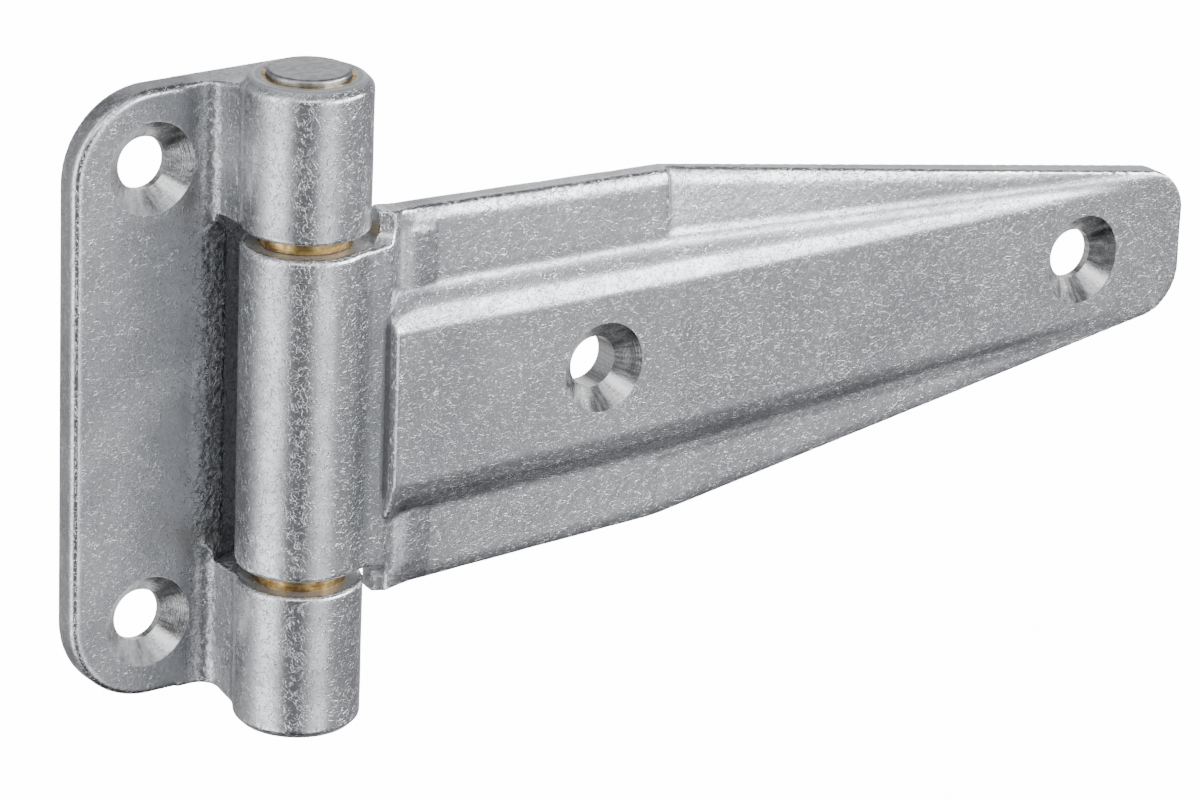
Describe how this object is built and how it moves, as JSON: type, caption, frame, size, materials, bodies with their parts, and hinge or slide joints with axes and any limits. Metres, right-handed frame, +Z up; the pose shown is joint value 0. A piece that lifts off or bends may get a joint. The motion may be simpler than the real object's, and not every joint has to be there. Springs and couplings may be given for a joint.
{
  "type": "t strap hinge",
  "caption": "Heavy duty T strap hinge in cast aluminium: a tapered ribbed strap swings on a steel pin in brass sleeves, carried by a set-back frame leaf.",
  "frame": {"origin": "centre of the frame leaf's two screw holes, on its flat mounting face", "axes": "+X along the strap from the frame leaf to the tip, +Y into the wall (outward normal of both mounting faces), +Z up along the pin"},
  "size_m": [0.204, 0.0276, 0.107],
  "materials": {
    "cast_aluminium": "tumbled satin casting with a fine wrinkled skin in the hollows, machined countersinks",
    "pin_steel": "turned stainless, fine circular marks on the ends",
    "sleeve_brass": "turned brass, slightly dulled"
  },
  "bodies": {
    "frame": {"frame_leaf": "cast_aluminium", "upper_bush": "sleeve_brass", "lower_bush": "sleeve_brass"},
    "strap": {"strap_leaf": "cast_aluminium", "hinge_pin": "pin_steel"}
  },
  "joints": [
    {"name": "strap_swing", "type": "hinge", "parent": "frame", "child": "strap", "pos_m": [0.0195, -0.017, 0], "axis": [0, 0, -1], "range_deg": [-62, 180]}
  ]
}
